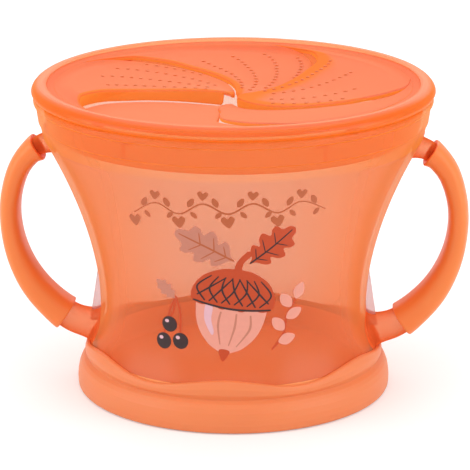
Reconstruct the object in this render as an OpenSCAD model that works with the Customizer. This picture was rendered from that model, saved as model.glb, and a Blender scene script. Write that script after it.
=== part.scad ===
// Toddler snack container: a flared two-handled cup with a plug-in lid of five
// soft spiral flaps, soft grips on the handles and a soft boot on the foot.
// Millimetres, +Z up, the front towards -Y, the handles along X.
// The origin is the centre of the boot's underside.

/* [Cup] */
// Radius of the cup's wall at the waist
waist_r = 37.1; // [36.6:0.1:37.6]
// Height of the waist above the table
waist_z = 24; // [23:0.5:25]
// Radius of the wall where the flare meets the rim band
flare_r = 52.1; // [51.9:0.1:52.3]
// Height where the flare meets the rim band
flare_z = 72; // [71.5:0.5:72.5]
// Radius of the foot that stands in the boot
foot_r = 40; // [39.9:0.1:40.1]
// Thickness of the cup's wall and floor
wall = 1.7; // [1.5:0.1:1.8]

/* [Handles] */
// Thickness of the soft grip around the handle's bar
grip_skin = 0.9; // [0.7:0.1:1.1]
// Width of the soft grip's bore against the bar inside it
grip_width = 1.08; // [1.02:0.02:1.14]

/* [Boot] */
// Largest radius of the boot's skirt
boot_r = 43.75; // [43.5:0.05:44.5]
// Mean height of the boot's wavy upper edge
edge_z = 12.8; // [12.6:0.1:13]
// Height of each wave above and below the mean
wave = 1.2; // [0:0.1:1.3]
// Number of waves around the boot
waves = 6; // [5:1:8]

/* [Lid] */
// Largest radius of the lid's bead
bead_r = 55.2; // [55.1:0.1:56]
// Height of the lid's top above the table
lid_z = 86.9; // [86.8:0.1:87.2]
// Depth of the dish in the middle of the lid
dish = 3.8; // [3.4:0.1:4]
// Half of the step from one flap to the next where it is largest
tilt = 1.45; // [1.3:0.05:1.5]
// Thickness of the soft sheet that the flaps are made of
sheet = 1; // [0.9:0.1:1.1]

/* [Hidden] */
$fn = 96;

// Cup: heights of the foot, the rim band and the rim bead
foot_z = 1.8;
foot_top_z = 12;
band_z = 76.2;
rim_under_z = 81;
rim_z = 83.1;
band_r = 53.4;
band_step = 0.35;
rim_under_r = 54.05;
rim_bead_r = 54.7;
flare_power = 1.77;
foot_power = 2.3;
wall_steps = 18;
foot_steps = 6;
foot_round = 1.2;

// Handle bar: [x, z, thickness in the handle's plane, width] along the bow
bow = [
    [46.5, 70.0, 5.6, 10.5], [50.2, 68.7, 5.2, 9.6], [54.6, 66.9, 4.9, 8.8],
    [59.3, 61.2, 4.3, 8.8], [61.9, 52.5, 3.9, 9.0], [61.9, 43.5, 4.0, 9.2],
    [59.6, 34.5, 4.8, 9.4], [54.9, 26.2, 6.0, 9.4], [47.4, 18.9, 7.2, 9.2],
    [41.2, 16.2, 7.9, 9.6], [34.0, 15.6, 9.4, 12.0]
];
// Stations on the bow between which the grip lies
grip_from = 1.9;
grip_to = 8.05;
bar_sides = 16;
bar_roundness = 2.6;
grip_steps = 26;
grip_end_swell = 0.12;
fit_gap = 0.06;
// Fin between the lower arm and the wall: its thickness, its corner on the arm,
// its top, and a radius and height inside the cup, from which it is cut back
fin_t = 2;
fin_foot = [39.9, 19];
fin_top_z = 33;
fin_inside = [35, 17];

// Boot
boot_floor_z = 0.7;
tread_r = 36;
groove_z = 8.6;
groove_r = 41.1;
roll_bulge = 0.65;
roll_steps = 72;

// Lid ring and its collar
bead_under_z = 83.35;
ring_inner_r = 51;
seat_z = 84.1;
seat_r = 52.4;
// The bead's outside, as insets from bead_r and drops below lid_z
bead_side = [
    [0.25, 3.05], [0, 2.5], [0.05, 2.1], [0.35, 1.45], [0.95, 0.75], [1.7, 0.25], [2.2, 0]
];
collar_foot_z = 73.6;
collar_gap = 0.3;
collar_t = 1.6;

// Flaps: five spiral blades, each turned by flap_pitch from the last
flap_count = 5;
flap_pitch = 360 / flap_count;
dish_r = 50.4;
rim_r = 48.9;
sheet_rim_z = 86;
spiral_start = 90;
spiral_from_r = 7.6;
spiral_rate = 1.24;
spiral_hook = 9;
spiral_hook_r = 48.4;
spiral_hook_power = 24;
// Five slits, from the one before flap 1: the turn by which each leans round near
// the middle, which fades out from lean_from_r to lean_end_r, and the heights of the
// edges that face it, as parts of tilt: the trailing edge before it stands up by a
// rise, the leading edge after it lies down by a fall. Each has its value at the
// centre and the one from tilt_full_r outwards. sag is how far each flap's tip hangs
// below the dish.
slit_lean = [0, 10, 15, -12, 9];
lean_from_r = 16;
lean_end_r = [38, 38, 38, 38, 46];
rise_in = [0.25, 0.7, 0, -0.35, 0.5];
rise_out = [0.35, 1, -0.1, -0.15, 0.7];
fall_in = [0.25, 1, 0, -0.35, 0.5];
fall_out = [0.35, 1.4, -0.5, -0.45, 0.7];
sag = [0, 1.7, 1.7, 0.2, 0];
sag_r = 26;
// The slit's width, the extra width of the pocket at its outer end, and the
// radii over which that pocket opens and closes
slit = 0.4;
pocket = [1.35, 0.8, 1.35, 1.45, 1.15];
pocket_opens = [29, 38];
pocket_closes = [44, 48.5];
// The lips under a blade's edges at each slit: their widths on the trailing and on
// the leading edge, and how far their feet stay above the facing edge
trail_lip = [0.9, 0.9, 0.9, 0.9, 2.4];
lead_lip = [0.9, 0.9, 0.9, 1.4, 0.9];
lip_clear = [0.3, 0.1, -0.4, -0.45, 0.4];
lip_share = 0.38;
lip_least = 0.15;
tip_r = 1.5;
tip_round = 1.7;
tilt_from_r = [43.5, 43.5, 46, 43.5, 43.5];
tilt_end_r = [48.5, 48.5, 50, 48.5, 48.5];
tilt_full_r = 40;
fold_azimuth = 176.9;
fold_r = 37.1;
fold_gap = [0.15, 0.3, 0.15, 0.15, 0.15];
across = 9;
along = 20;
web_along = 5;

// ---- cup profile ----

// Outer radius of the cup's wall at height z, below the rim band
function cup_r(z) =
    z >= waist_z
    ? waist_r + (flare_r - waist_r) * pow((z - waist_z) / (flare_z - waist_z), flare_power)
    : waist_r + (foot_r - waist_r) * pow((waist_z - z) / (waist_z - foot_top_z), foot_power);

function wall_zs() = concat(
    [for (i = [0:foot_steps - 1]) foot_top_z + (waist_z - foot_top_z) * i / foot_steps],
    [for (i = [0:wall_steps]) waist_z + (flare_z - waist_z) * i / wall_steps]
);

function corner(r, z, radius, from, to, steps = 5) = [
    for (i = [0:steps])
        let (a = from + (to - from) * i / steps) [r + radius * cos(a), z + radius * sin(a)]
];

function cup_outside() = concat(
    [[0, foot_z]],
    corner(foot_r - foot_round, foot_z + foot_round, foot_round, -90, 0),
    [for (z = wall_zs()) [cup_r(z), z]],
    [[band_r - band_step, band_z], [band_r, band_z + 0.2], [rim_under_r, rim_under_z]],
    corner(rim_bead_r - 0.8, rim_z - 1.1, 0.8, -50, 0, 3),
    corner(rim_bead_r - 0.8, rim_z - 0.8, 0.8, 0, 90, 4)
);

function cup_inside() = [
    [rim_under_r - wall, rim_z],
    [band_r - band_step - wall, band_z],
    for (i = [len(wall_zs()) - 1:-1:0])
        let (z = wall_zs()[i]) if (z > foot_top_z) [cup_r(z) - wall, z],
    [foot_r - wall, foot_top_z - 1],
    [foot_r - wall, foot_z + wall + 1.5],
    [foot_r - wall - 0.5, foot_z + wall + 0.5],
    [foot_r - wall - 1.5, foot_z + wall],
    [0, foot_z + wall]
];

module cup_shell() {
    color([1, 0.6, 0.42, 0.6])
    rotate_extrude() polygon(concat(cup_outside(), cup_inside()));
}

// ---- handles ----

// Point on a smooth curve through the rows of list p, s counted in rows
function on_curve(p, s) =
    let (
        last = len(p) - 1,
        i = min(floor(s), last - 1),
        t = s - i,
        a = p[max(i - 1, 0)], b = p[i], c = p[i + 1], d = p[min(i + 2, last)]
    )
    (2 * b + (c - a) * t + (2 * a - 5 * b + 4 * c - d) * t * t
        + (3 * b - a - 3 * c + d) * t * t * t) / 2;

function rounded(v) = sign(v) * pow(abs(v), 2 / bar_roundness);

// Closed ring of points around the bow at s, grown by skin all round
function bow_ring(s, skin, widen = 1) =
    let (
        here = on_curve(bow, s),
        step = on_curve(bow, min(s + 0.05, len(bow) - 1)) - on_curve(bow, max(s - 0.05, 0)),
        run = norm([step[0], step[1]]),
        out = [-step[1], step[0]] / run,
        half_t = here[2] / 2 + skin,
        half_w = here[3] / 2 * widen + skin
    )
    [for (k = [0:bar_sides - 1])
        let (
            a = 360 * k / bar_sides,
            t = half_t * rounded(cos(a)),
            w = half_w * rounded(sin(a))
        )
        [here[0] + out[0] * t, w, here[1] + out[1] * t]];

// Solid through a list of rings that all have n points; bore is a second list
// of rings that hollows it from end to end
function flat_list(rings) = [for (ring = rings) for (p = ring) p];

function side_faces(count, n, base, flip) = [
    for (i = [0:count - 2]) for (k = [0:n - 1])
        let (
            a = base + i * n + k, b = base + i * n + (k + 1) % n,
            c = b + n, d = a + n
        )
        for (f = [[a, b, c], [a, c, d]]) flip ? [f[2], f[1], f[0]] : f
];

module swept(rings) {
    count = len(rings);
    n = len(rings[0]);
    polyhedron(
        flat_list(rings),
        concat(
            side_faces(count, n, 0, false),
            [[for (k = [n - 1:-1:0]) k]],
            [[for (k = [0:n - 1]) (count - 1) * n + k]]
        )
    );
}

module swept_tube(rings, bore) {
    count = len(rings);
    n = len(rings[0]);
    inner = count * n;
    last = (count - 1) * n;
    polyhedron(
        concat(flat_list(rings), flat_list(bore)),
        concat(
            side_faces(count, n, 0, false),
            side_faces(count, n, inner, true),
            [for (k = [0:n - 1]) let (m = (k + 1) % n)
                for (f = [[k, inner + k, inner + m], [k, inner + m, m]]) f],
            [for (k = [0:n - 1]) let (m = (k + 1) % n)
                for (f = [[last + k, inner + last + m, inner + last + k],
                          [last + k, last + m, inner + last + m]]) f]
        )
    );
}

module handle_frame() {
    stations = 4 * (len(bow) - 1);
    color([1, 0.5, 0.28, 0.7])
    difference() {
        union() {
            swept([for (i = [0:stations]) bow_ring(i / 4, 0)]);
            translate([0, fin_t / 2, 0]) rotate([90, 0, 0]) linear_extrude(fin_t)
                polygon([fin_inside, fin_foot, [cup_r(fin_top_z) + 0.1, fin_top_z],
                         [fin_inside[0], fin_top_z]]);
        }
        rotate_extrude() polygon(concat(cup_outside(), [[0, rim_z]]));
    }
}

module grip_sleeve() {
    s = [for (i = [0:grip_steps]) grip_from + (grip_to - grip_from) * i / grip_steps];
    color([1, 0.46, 0.25])
    swept_tube(
        [for (v = s) bow_ring(v, grip_skin + grip_end_swell * end_swell(v), grip_width)],
        [for (v = s) bow_ring(v, fit_gap)]
    );
}

// 1 at either end of the grip, falling to 0 within half a station
function end_swell(s) =
    let (inset = min(s - grip_from, grip_to - s) / 0.5) max(0, 1 - inset);

module handle_frame_right() { handle_frame(); }
module handle_frame_left() { mirror([1, 0, 0]) handle_frame(); }
module grip_sleeve_right() { grip_sleeve(); }
module grip_sleeve_left() { mirror([1, 0, 0]) grip_sleeve(); }

// ---- boot ----

function edge_at(a) = edge_z + wave * cos(waves * (a + 90));

// Section of the rolled edge at azimuth a, round its upper edge
function roll_section(a) =
    let (
        top = edge_at(a),
        inner = cup_r(top - 0.3) + 0.12,
        outer = groove_r - 0.1,
        rise = top - groove_z
    )
    [
        [outer, groove_z - 1], [outer, groove_z],
        [outer + roll_bulge * 0.7, groove_z + rise * 0.2],
        [outer + roll_bulge, groove_z + rise * 0.45],
        [outer + roll_bulge * 0.8, groove_z + rise * 0.7],
        [(inner + outer) / 2 + 0.45, top - 0.25],
        [(inner + outer) / 2, top], [inner + 0.15, top - 0.2],
        [foot_r + 0.13, min(top - 0.3, foot_top_z + 0.1)], [foot_r + 0.2, groove_z - 1]
    ];

module rolled_edge() {
    rings = [for (i = [0:roll_steps - 1])
        let (a = 360 * i / roll_steps)
        [for (p = roll_section(a)) [p[0] * cos(a), p[0] * sin(a), p[1]]]];
    n = len(rings[0]);
    polyhedron(
        flat_list(rings),
        [for (i = [0:roll_steps - 1]) for (k = [0:n - 1])
            let (
                j = (i + 1) % roll_steps, m = (k + 1) % n,
                a = i * n + k, b = i * n + m, c = j * n + m, d = j * n + k
            )
            for (f = [[a, b, c], [a, c, d]]) f]
    );
}

module base_boot() {
    color([1, 0.55, 0.33])
    union() {
        rotate_extrude() polygon(concat(
            [[0, boot_floor_z], [tread_r - 0.7, boot_floor_z], [tread_r, 0]],
            corner(boot_r - 0.9, 0.9, 0.9, -90, 0, 4),
            [[boot_r, 2.2], [boot_r - 0.1, 3.8], [boot_r - 0.4, 5.5], [boot_r - 0.95, 6.9]],
            [[groove_r + 1, 7.8]],
            [[groove_r, groove_z], [foot_r + 0.1, groove_z]],
            [[foot_r + 0.1, foot_z + 0.5], [foot_r - 0.6, foot_z - 0.05], [0, foot_z - 0.05]]
        ));
        rolled_edge();
    }
}

// ---- lid ----

// Outer radius of the collar at height z, clear of the cup's inner wall
function collar_r(z) =
    let (
        top = rim_under_r - wall - collar_gap,
        low = cup_r(flare_z) - wall - collar_gap
    )
    low + (top - low) * (z - flare_z) / (rim_z - flare_z);

module lid_ring() {
    color([1, 0.5, 0.27, 0.8])
    rotate_extrude() polygon(concat(
        [[collar_r(bead_under_z), bead_under_z]],
        [[bead_r - 1.0, bead_under_z]],
        [for (p = bead_side) [bead_r - p[0], lid_z - p[1]]],
        [[ring_inner_r + 0.8, lid_z - 0.05], [ring_inner_r + 0.2, lid_z - 0.25]],
        [[ring_inner_r, lid_z - 0.55], [ring_inner_r, lid_z - 1.15]],
        [[seat_r, lid_z - 1.15], [seat_r, seat_z]],
        [[collar_r(seat_z) - collar_t, seat_z]],
        [[collar_r(collar_foot_z) - collar_t, collar_foot_z + 0.4]],
        [[collar_r(collar_foot_z) - collar_t + 0.4, collar_foot_z]],
        [[collar_r(collar_foot_z) - 0.4, collar_foot_z]],
        [[collar_r(collar_foot_z), collar_foot_z + 0.5]]
    ));
}

function eased(x) = let (t = max(0, min(1, x))) t * t * (3 - 2 * t);

function fades(r, span) = 1 - eased((r - span[0]) / (span[1] - span[0]));

// Azimuth of slit k (0 is the one before flap 1) at radius r: it winds in
// towards the centre and hooks along the rim at its outer end
function slit_azimuth(k, r) =
    spiral_start + flap_pitch * k + spiral_rate * (r - spiral_from_r)
    + spiral_hook * pow(r / spiral_hook_r, spiral_hook_power)
    + slit_lean[k % flap_count] * fades(r, [lean_from_r, lean_end_r[k % flap_count]]);

// Turn, in degrees, that leaves a perpendicular distance w from the slit's line
function slit_turn(r, w) =
    let (lean = atan(r * spiral_rate * PI / 180)) w / (r * cos(lean)) * 180 / PI;

function dish_z(r) = sheet_rim_z - dish * (1 - pow(min(r, dish_r) / dish_r, 2));

// Offset of an edge at slit s and radius r, from its two values
function step_at(s, r, in, out) =
    tilt * fades(r, [tilt_from_r[s], tilt_end_r[s]])
    * (in[s] + (out[s] - in[s]) * min(1, r / tilt_full_r));

// Height of the top of flap k + 1, v running from 0 at its leading edge to 1
function sheet_z(k, r, v) =
    let (next = (k + 1) % flap_count)
    dish_z(r) - sag[k] * fades(r, [0, sag_r])
    + v * step_at(next, r, rise_in, rise_out) - (1 - v) * step_at(k, r, fall_in, fall_out);

// Extra width cut from a blade's trailing edge at slit s and radius r
function pocket_at(s, r) = pocket[s] * (1 - fades(r, pocket_opens)) * fades(r, pocket_closes);

// First azimuth and width of blade k at radius r, clear of the slits
function blade_start(k, r) = slit_azimuth(k, r) + slit_turn(r, slit / 2);
function blade_width(k, r) =
    slit_azimuth(k + 1, r) - slit_turn(r, slit / 2 + pocket_at((k + 1) % flap_count, r))
    - blade_start(k, r);

function blade_point(k, r, v, z) =
    let (a = blade_start(k, r) + v * blade_width(k, r)) [r * cos(a), r * sin(a), z];

// Radius at which the line v of blade k crosses its fold, moved outwards by shift
function fold_cross(k, v, shift, low = 30, high = 48.8, n = 24) =
    n == 0 ? (low + high) / 2
    : let (
        r = (low + high) / 2,
        a = slit_azimuth(k, r) + v * (slit_azimuth(k + 1, r) - slit_azimuth(k, r)),
        reach = r * cos(a - fold_azimuth - flap_pitch * k)
    )
    reach < fold_r + shift ? fold_cross(k, v, shift, r, high, n - 1)
                           : fold_cross(k, v, shift, low, r, n - 1);

// Share of blade k's width that a lip w wide takes along one of its edges
function lip_width(k, r, w) = min(lip_share, slit_turn(r, w) / blade_width(k, r));

// Height of the foot of a lip at slit s, under an edge at height z and facing another
function lip_foot(s, z, facing_z) = min(z - sheet - lip_least, facing_z + lip_clear[s]);

// Closed ring of points across blade k: its top, the lip at v = 1, its underside
// and the lip at v = 0; radii holds one radius for each step across
function blade_ring(k, radii) =
    let (
        r0 = radii[0], r1 = radii[across],
        before = (k + flap_count - 1) % flap_count, after = (k + 1) % flap_count,
        v0 = lip_width(k, r0, lead_lip[k]), v1 = 1 - lip_width(k, r1, trail_lip[after]),
        z0 = lip_foot(k, sheet_z(k, r0, 0), sheet_z(before, r0, 1)),
        z1 = lip_foot(after, sheet_z(k, r1, 1), sheet_z(after, r1, 0))
    )
    concat(
        [for (j = [0:across])
            let (v = j / across) blade_point(k, radii[j], v, sheet_z(k, radii[j], v))],
        [blade_point(k, r1, 1, z1), blade_point(k, r1, v1, z1)],
        [for (j = [across:-1:0])
            let (v = v0 + j / across * (v1 - v0))
            blade_point(k, radii[j], v, sheet_z(k, radii[j], v) - sheet)],
        [blade_point(k, r0, v0, z0), blade_point(k, r0, 0, z0)]
    );

// Places in such a ring: under top point j, the lips' feet at v = 1 and at v = 0
ring_n = 2 * across + 6;
lip_out = across + 1;
lip_back = across + 2;
lead_back = 2 * across + 4;
lead_out = 2 * across + 5;
function under(j) = 2 * across + 3 - j;

function tip_radius(v) = tip_r + tip_round * pow(abs(2 * v - 1), 2.5);

function quad(a, b, c, d) = [[a, b, c], [a, c, d]];

// Triangles that close one end of a blade whose ring starts at point base
function blade_end(base, flip) =
    let (
        strips = [for (j = [0:across - 1]) for (f = quad(j, j + 1, under(j + 1), under(j))) f],
        lips = concat(quad(across, lip_out, lip_back, under(across)),
                      quad(0, under(0), lead_back, lead_out))
    )
    [for (f = concat(strips, lips)) let (g = [for (m = f) base + m]) flip ? [g[2], g[1], g[0]] : g];

module blade(k, from_r, to_r, steps) {
    rings = [for (i = [0:steps])
        blade_ring(k, [for (j = [0:across]) from_r[j] + (to_r[j] - from_r[j]) * i / steps])];
    polyhedron(
        flat_list(rings),
        concat(
            side_faces(steps + 1, ring_n, 0, false),
            blade_end(0, true), blade_end(steps * ring_n, false)
        )
    );
}

module flap(index) {
    k = index - 1;
    vs = [for (j = [0:across]) j / across];
    color([1, 0.58, 0.42, 0.8])
    blade(k, [for (v = vs) tip_radius(v)], [for (v = vs) fold_cross(k, v, -fold_gap[k])], along);
}

// The membrane is one closed solid: a fixed web outside each fold, and a rim
// band that joins the five webs and closes the slits between them
function web_rings(k) =
    let (from = [for (j = [0:across]) fold_cross(k, j / across, fold_gap[k])])
    [for (i = [0:web_along])
        blade_ring(k, [for (r = from) r + (rim_r - r) * i / web_along])];

// Corners of the rim band behind column j of web k, from its top inwards below
band_corners = [
    [ring_inner_r - 0.1, sheet_rim_z + 0.05], [ring_inner_r - 0.1, lid_z - 1.2],
    [seat_r - 0.1, lid_z - 1.2], [seat_r - 0.1, seat_z + 0.1], [rim_r, seat_z + 0.1]
];
band_n = len(band_corners);

function band_points(k, j) = [
    for (c = band_corners) blade_point(k, rim_r, j / across, 0) * c[0] / rim_r + [0, 0, c[1]]
];

web_n = (web_along + 1) * ring_n;
sector_n = web_n + band_n * (across + 1);

// Index of point m in the last ring of web k, and of corner q in band column j
function web_edge(k, m) = (k % flap_count) * sector_n + web_along * ring_n + m;
function band(k, j, q) = (k % flap_count) * sector_n + web_n + band_n * j + q;

function band_faces(k) =
    let (end = across, next = k + 1, foot = band_n - 1)
    concat(
        [for (j = [0:end - 1]) for (f = concat(
            quad(web_edge(k, j), web_edge(k, j + 1), band(k, j + 1, 0), band(k, j, 0)),
            [for (q = [0:foot - 1]) for (t = quad(band(k, j, q), band(k, j + 1, q),
                                                  band(k, j + 1, q + 1), band(k, j, q + 1))) t]
        )) f],
        quad(web_edge(k, end), web_edge(next, 0), band(next, 0, 0), band(k, end, 0)),
        [for (q = [0:foot - 1]) for (t = quad(band(k, end, q), band(next, 0, q),
                                              band(next, 0, q + 1), band(k, end, q + 1))) t],
        [for (j = [1:end - 2]) for (f = quad(band(k, j, foot), band(k, j + 1, foot),
                                             web_edge(k, under(j + 1)), web_edge(k, under(j)))) f],
        [
            [band(k, 0, foot), band(k, 1, foot), web_edge(k, lead_back)],
            [band(k, 0, foot), web_edge(k, lead_back), web_edge(k, lead_out)],
            [band(k, 1, foot), web_edge(k, under(0)), web_edge(k, lead_back)],
            [band(k, 1, foot), web_edge(k, under(1)), web_edge(k, under(0))],
            [band(k, end - 1, foot), band(k, end, foot), web_edge(k, lip_back)],
            [band(k, end, foot), web_edge(k, lip_out), web_edge(k, lip_back)],
            [band(k, end - 1, foot), web_edge(k, lip_back), web_edge(k, under(end))],
            [band(k, end - 1, foot), web_edge(k, under(end)), web_edge(k, under(end - 1))]
        ],
        quad(band(k, end, foot), band(next, 0, foot), web_edge(next, lead_out), web_edge(k, lip_out)),
        quad(web_edge(k, lip_out), web_edge(next, lead_out), web_edge(next, 0), web_edge(k, end))
    );

module flap_membrane() {
    color([1, 0.58, 0.42, 0.8])
    polyhedron(
        [for (k = [0:flap_count - 1]) for (p = concat(
            flat_list(web_rings(k)),
            [for (j = [0:across]) for (q = band_points(k, j)) q]
        )) p],
        [for (k = [0:flap_count - 1]) for (f = concat(
            side_faces(web_along + 1, ring_n, k * sector_n, false),
            blade_end(k * sector_n, true),
            band_faces(k)
        )) f]
    );
}

module flap_1() { flap(1); }
module flap_2() { flap(2); }
module flap_3() { flap(3); }
module flap_4() { flap(4); }
module flap_5() { flap(5); }

cup_shell();
handle_frame_left();
handle_frame_right();
grip_sleeve_left();
grip_sleeve_right();
base_boot();
lid_ring();
flap_membrane();
flap_1();
flap_2();
flap_3();
flap_4();
flap_5();
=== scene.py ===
"""Looks of the toddler snack container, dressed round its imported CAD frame."""

import math

import bpy
import numpy as np
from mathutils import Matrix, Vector, geometry


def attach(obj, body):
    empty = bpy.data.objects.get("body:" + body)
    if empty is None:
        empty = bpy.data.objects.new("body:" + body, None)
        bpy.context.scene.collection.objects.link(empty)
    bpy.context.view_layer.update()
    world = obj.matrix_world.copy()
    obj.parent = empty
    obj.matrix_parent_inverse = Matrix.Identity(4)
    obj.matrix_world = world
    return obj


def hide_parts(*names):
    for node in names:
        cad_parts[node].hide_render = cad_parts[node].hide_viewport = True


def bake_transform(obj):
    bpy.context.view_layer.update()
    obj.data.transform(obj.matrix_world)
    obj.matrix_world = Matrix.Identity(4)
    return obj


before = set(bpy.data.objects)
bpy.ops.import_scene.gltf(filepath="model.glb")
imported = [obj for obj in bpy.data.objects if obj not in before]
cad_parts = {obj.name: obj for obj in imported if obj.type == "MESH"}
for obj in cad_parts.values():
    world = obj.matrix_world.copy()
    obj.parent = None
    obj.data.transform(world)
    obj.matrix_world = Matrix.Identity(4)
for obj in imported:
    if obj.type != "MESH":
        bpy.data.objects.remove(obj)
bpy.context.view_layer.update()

scene = bpy.context.scene
MM = 0.001
TAU = 2 * math.pi
AROUND = 288            # segments round the cup, the boot and the lid
SHARP_DEGREES = 35      # an edge that turns by more stays hard in the smooth shading
FILLET_SHARE = 0.49     # of a side, the most that one rounded corner may take


# ---- mesh tools

def polar(r, azimuth, z):
    return (r * math.cos(azimuth), r * math.sin(azimuth), z)


def disc(x, y, rx, ry=None, n=22):
    """Outline of a disc or an oval."""
    ry = rx if ry is None else ry
    return [(x + rx * math.cos(TAU * k / n), y + ry * math.sin(TAU * k / n)) for k in range(n)]


def linked(name, data):
    """A new object in the scene that shows data."""
    made = bpy.data.objects.new(name, data)
    scene.collection.objects.link(made)
    return made


def build(name, points, faces, materials, body=None, looks=None, slot=None, rim=None):
    """A smooth-shaded mesh object. points are in mm; looks gives each face a material by number, and
    rim gives each point a number that its material reads, the weight of the painted edge shade on the
    flaps."""
    mesh = bpy.data.meshes.new(name)
    mesh.from_pydata([tuple(p) for p in np.asarray(points, float) * MM], [], faces)
    if rim is not None:
        weights = mesh.attributes.new("rim", "FLOAT", "POINT")
        weights.data.foreach_set("value", np.asarray(rim, np.float32))
    mesh.validate(verbose=False)
    for material in materials:
        mesh.materials.append(material)
    if looks is not None:
        mesh.polygons.foreach_set("material_index", np.asarray(looks, np.int32))
    mesh.polygons.foreach_set("use_smooth", [True] * len(mesh.polygons))
    mesh.set_sharp_from_angle(angle=math.radians(SHARP_DEGREES))
    mesh.update()
    piece = linked(name, mesh)
    if body:
        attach(piece, body)
    return piece


def loft(rings, closed_along=False, cap=True):
    """(points, faces) through rings of equal length; each ring is a closed loop of points."""
    rings = np.asarray(rings, float)
    count, n = rings.shape[:2]
    faces = []
    for i in range(count if closed_along else count - 1):
        a, b = i * n, ((i + 1) % count) * n
        for k in range(n):
            m = (k + 1) % n
            faces.append((a + k, a + m, b + m, b + k))
    if cap and not closed_along:
        faces.append(tuple(range(n - 1, -1, -1)))
        faces.append(tuple((count - 1) * n + k for k in range(n)))
    return rings.reshape(-1, 3), faces


def join(points, faces, more, sides):
    """Add the points and faces of one more part."""
    start = len(points)
    points += more
    faces += [tuple(start + i for i in f) for f in sides]


def turned_solid(profile):
    """(points, faces) of a closed profile (r, z) turned about Z, which may start on the axis."""
    on_axis = profile[0][0] < 1e-6
    points, faces = [], []
    rows = profile[1:-1] if on_axis else profile
    for s in range(AROUND):
        points += [polar(r, TAU * s / AROUND, z) for r, z in rows]
    n = len(rows)
    for s in range(AROUND):
        t = (s + 1) % AROUND
        for k in range(n - 1 if on_axis else n):
            m = (k + 1) % n
            faces.append((s * n + k, t * n + k, t * n + m, s * n + m))
    if on_axis:
        first, last = len(points), len(points) + 1
        points += [(0, 0, profile[0][1]), (0, 0, profile[-1][1])]
        for s in range(AROUND):
            t = (s + 1) % AROUND
            faces.append((first, t * n, s * n))
            faces.append((last, s * n + n - 1, t * n + n - 1))
    return points, faces


def filleted(corners, steps=5):
    """Profile from (r, z, radius) corners, each rounded to its radius; radius 0 keeps a corner."""
    out = []
    n = len(corners)
    for i, (r, z, radius) in enumerate(corners):
        if radius <= 0:
            out.append((r, z))
            continue
        p = np.array((r, z))
        a = np.array(corners[i - 1][:2]) - p
        b = np.array(corners[(i + 1) % n][:2]) - p
        la, lb = np.linalg.norm(a), np.linalg.norm(b)
        a, b = a / la, b / lb
        half = math.acos(max(-1, min(1, float(a @ b)))) / 2
        reach = min(radius / math.tan(half), FILLET_SHARE * la, FILLET_SHARE * lb)
        start, end = p + a * reach, p + b * reach
        for k in range(steps + 1):
            t = k / steps
            out.append(tuple((1 - t) ** 2 * start + 2 * t * (1 - t) * p + t * t * end))
    return out


def eased(x):
    """0 up to x = 0, 1 from x = 1, and a smooth rise between."""
    t = np.clip(x, 0, 1)
    return t * t * (3 - 2 * t)


def spline(a, b, c, d, t):
    """Point at t, 0 to 1, between b and c on the smooth curve through a, b, c and d."""
    return (2 * b + (c - a) * t + (2 * a - 5 * b + 4 * c - d) * t * t
            + (3 * b - a - 3 * c + d) * t ** 3) / 2


# ---- sizes in mm, as in the CAD frame

WALL = 1.7
FLARE_POWER, FOOT_POWER = 1.77, 2.3     # how the wall curves above and below the waist
FOOT_R, FOOT_Z, FOOT_TOP_Z = 40.0, 1.8, 12.0
WAIST_R, WAIST_Z, FLARE_R, FLARE_Z = 37.1, 24.0, 52.1, 72.0
BAND_R, BAND_Z, BAND_STEP = 53.4, 76.2, 0.35
RIM_UNDER_R, RIM_UNDER_Z, RIM_BEAD_R, RIM_Z = 54.05, 81.0, 54.7, 83.1
BEAD_R, LID_Z, BEAD_UNDER_Z = 55.2, 86.9, 83.35
RING_INNER_R, SEAT_Z, SEAT_R = 51.0, 84.1, 52.4
COLLAR_FOOT_Z, COLLAR_GAP, COLLAR_T = 73.6, 0.3, 1.6
BOOT_R, EDGE_Z, WAVE, WAVES = 43.75, 12.8, 1.2, 6
GROOVE_Z, GROOVE_R, TREAD_R, BOOT_FLOOR_Z = 8.6, 41.1, 36.0, 0.7


def cup_r(z):
    """Outside radius of the cup's curved wall, from the foot to the band."""
    z = np.asarray(z, float)
    up = np.clip((z - WAIST_Z) / (FLARE_Z - WAIST_Z), 0, None)
    down = np.clip((WAIST_Z - z) / (WAIST_Z - FOOT_TOP_Z), 0, None)
    return (WAIST_R + (FLARE_R - WAIST_R) * up ** FLARE_POWER
            + (FOOT_R - WAIST_R) * down ** FOOT_POWER)


def outer_r(z):
    """Outside radius of the cup at any height from the foot to the rim."""
    z = np.asarray(z, float)
    band = np.interp(z, [FLARE_Z, BAND_Z, RIM_UNDER_Z, RIM_Z],
                     [FLARE_R, BAND_R, RIM_UNDER_R, RIM_BEAD_R])
    return np.where(z > FLARE_Z, band, np.where(z < FOOT_TOP_Z, FOOT_R, cup_r(z)))


def collar_r(z):
    """Outside radius of the lid's collar, a gap inside the cup's band."""
    low = FLARE_R - WALL - COLLAR_GAP
    top = RIM_UNDER_R - WALL - COLLAR_GAP
    return low + (top - low) * (z - FLARE_Z) / (RIM_Z - FLARE_Z)


def collar_inner_r(z):
    return collar_r(z) - COLLAR_T


def edge_at(azimuth):
    """Height of the boot's wavy edge; azimuth in radians from +X."""
    return EDGE_Z + WAVE * math.cos(WAVES * (azimuth + math.pi / 2))


# ---- materials

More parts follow.
